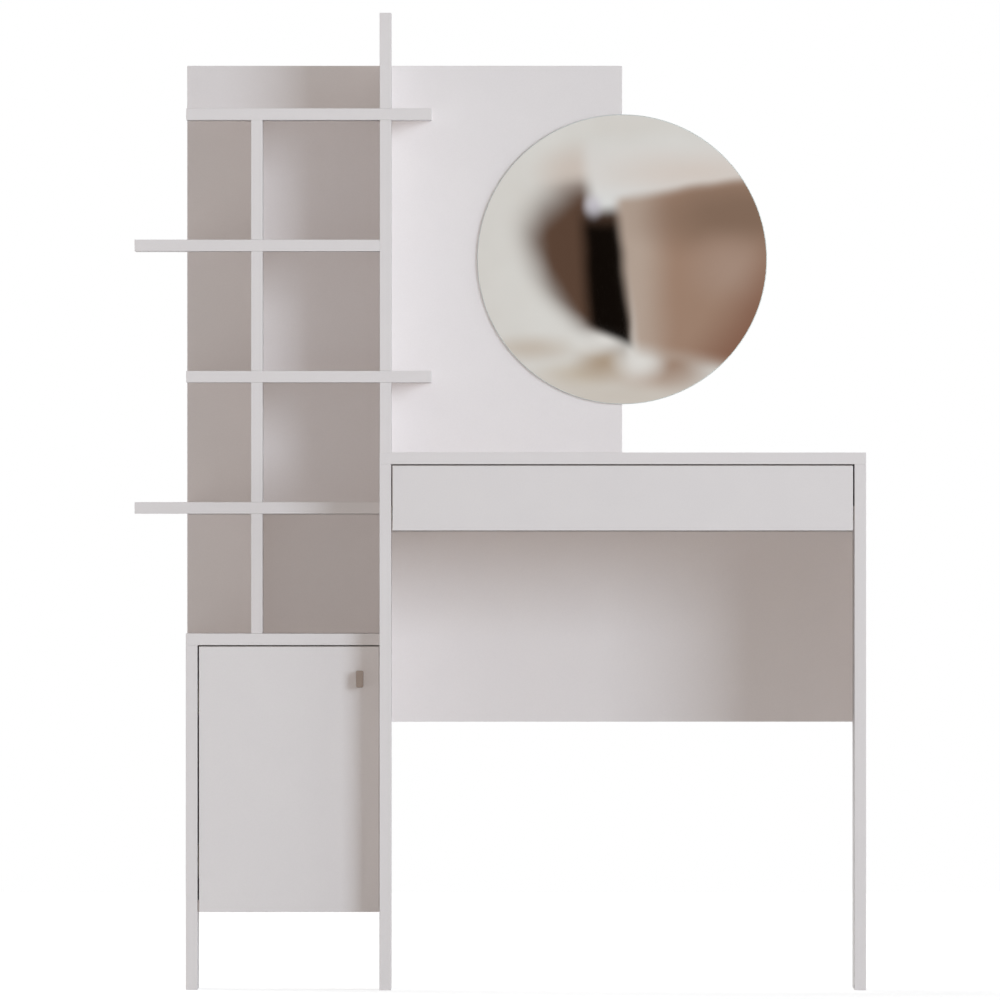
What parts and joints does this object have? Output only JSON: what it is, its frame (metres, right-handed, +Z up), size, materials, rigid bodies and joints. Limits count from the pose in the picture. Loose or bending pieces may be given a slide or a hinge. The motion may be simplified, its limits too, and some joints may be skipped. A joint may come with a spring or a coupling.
{
  "type": "dressing table",
  "caption": "White dressing table: desk with a drawer and a round mirror on a back panel, joined to a shelf tower over a low cabinet with a hinged door.",
  "frame": {"origin": "on the floor, at the middle of the overall box", "axes": "+X to the right seen from the front, +Y to the back, +Z up"},
  "size_m": [1.005, 0.35, 1.343],
  "materials": {
    "white_board": "white melamine on particle board, satin with a fine grain",
    "white_panel": "thin hardboard with a white lacquered face",
    "mirror": "silvered float glass with a ground and polished edge",
    "mounting_tape": "white foam mounting tape",
    "coated_steel": "white epoxy on rolled sheet steel, half gloss",
    "nylon": "natural nylon, slightly worn",
    "nickel_plate": "nickel plated pressed steel",
    "cast_zinc": "bare die-cast zinc, dull",
    "zinc_plate": "bright zinc plated steel",
    "knob_metal": "satin warm nickel",
    "dowel_wood": "plain beech, fluted look"
  },
  "bodies": {
    "carcass": {"desk_top": "white_board", "desk_left_side": "white_board", "desk_right_side": "white_board", "modesty_panel": "white_board", "cabinet_top": "white_board", "cabinet_left_side": "white_board", "cabinet_bottom": "white_board", "tower_back": "white_board", "tower_divider": "white_board", "tower_partition": "white_board", "mirror_panel": "white_board", "shelf_1": "white_board", "shelf_2": "white_board", "shelf_3": "white_board", "shelf_4": "white_board", "cabinet_back": "white_panel", "door_stop": "white_board", "mirror_glass": "mirror", "mirror_tape_inner": "mounting_tape", "mirror_tape_outer": "mounting_tape", "slide_rail_left": "coated_steel", "slide_rail_right": "coated_steel", "front_axles": "zinc_plate", "hinge_arm_upper": "nickel_plate", "hinge_arm_lower": "nickel_plate", "hinge_plate_upper": "nickel_plate", "hinge_plate_lower": "nickel_plate", "hinge_plate_screws": "zinc_plate", "hinge_arm_screws": "zinc_plate", "cam_housings": "cast_zinc", "cam_bolts": "zinc_plate", "carcass_dowels": "dowel_wood", "shelf_screws": "zinc_plate", "stop_screws": "zinc_plate", "rail_screws": "zinc_plate"},
    "drawer": {"drawer_front": "white_board", "drawer_left_side": "white_board", "drawer_right_side": "white_board", "drawer_back": "white_board", "drawer_bottom": "white_panel", "slide_runner_left": "coated_steel", "slide_runner_right": "coated_steel", "rear_axles": "zinc_plate", "drawer_dowels": "dowel_wood", "drawer_screws": "zinc_plate", "runner_screws": "zinc_plate"},
    "door": {"door_panel": "white_board", "door_knob": "knob_metal", "knob_screw": "zinc_plate", "hinge_cup_upper": "nickel_plate", "hinge_cup_lower": "nickel_plate", "hinge_pins": "nickel_plate", "hinge_cup_screws": "zinc_plate"},
    "front_rollers": {"front_roller_left": "nylon", "front_roller_right": "nylon"},
    "rear_rollers": {"rear_roller_left": "nylon", "rear_roller_right": "nylon"}
  },
  "joints": [
    {"name": "drawer_slide", "type": "slide", "parent": "carcass", "child": "drawer", "axis": [0, -1, 0], "range_m": [0, 0.225]},
    {"name": "door_hinge", "type": "hinge", "parent": "carcass", "child": "door", "pos_m": [-0.39818, -0.1177, 0.28925], "axis": [0, 0, -1], "range_deg": [0, 95]},
    {"name": "front_rollers_spin", "type": "hinge", "parent": "carcass", "child": "front_rollers", "pos_m": [0.1685, -0.146, 0.6568], "axis": [1, 0, 0], "range_deg": [0, 1516.7]},
    {"name": "rear_rollers_spin", "type": "hinge", "parent": "drawer", "child": "rear_rollers", "pos_m": [0.1685, 0.127, 0.655], "axis": [1, 0, 0], "range_deg": [0, 1516.7]}
  ],
  "couplings": [
    {"joint": "front_rollers_spin", "follows": "drawer_slide", "rad_per_m": 117.65},
    {"joint": "rear_rollers_spin", "follows": "drawer_slide", "rad_per_m": 117.65}
  ]
}
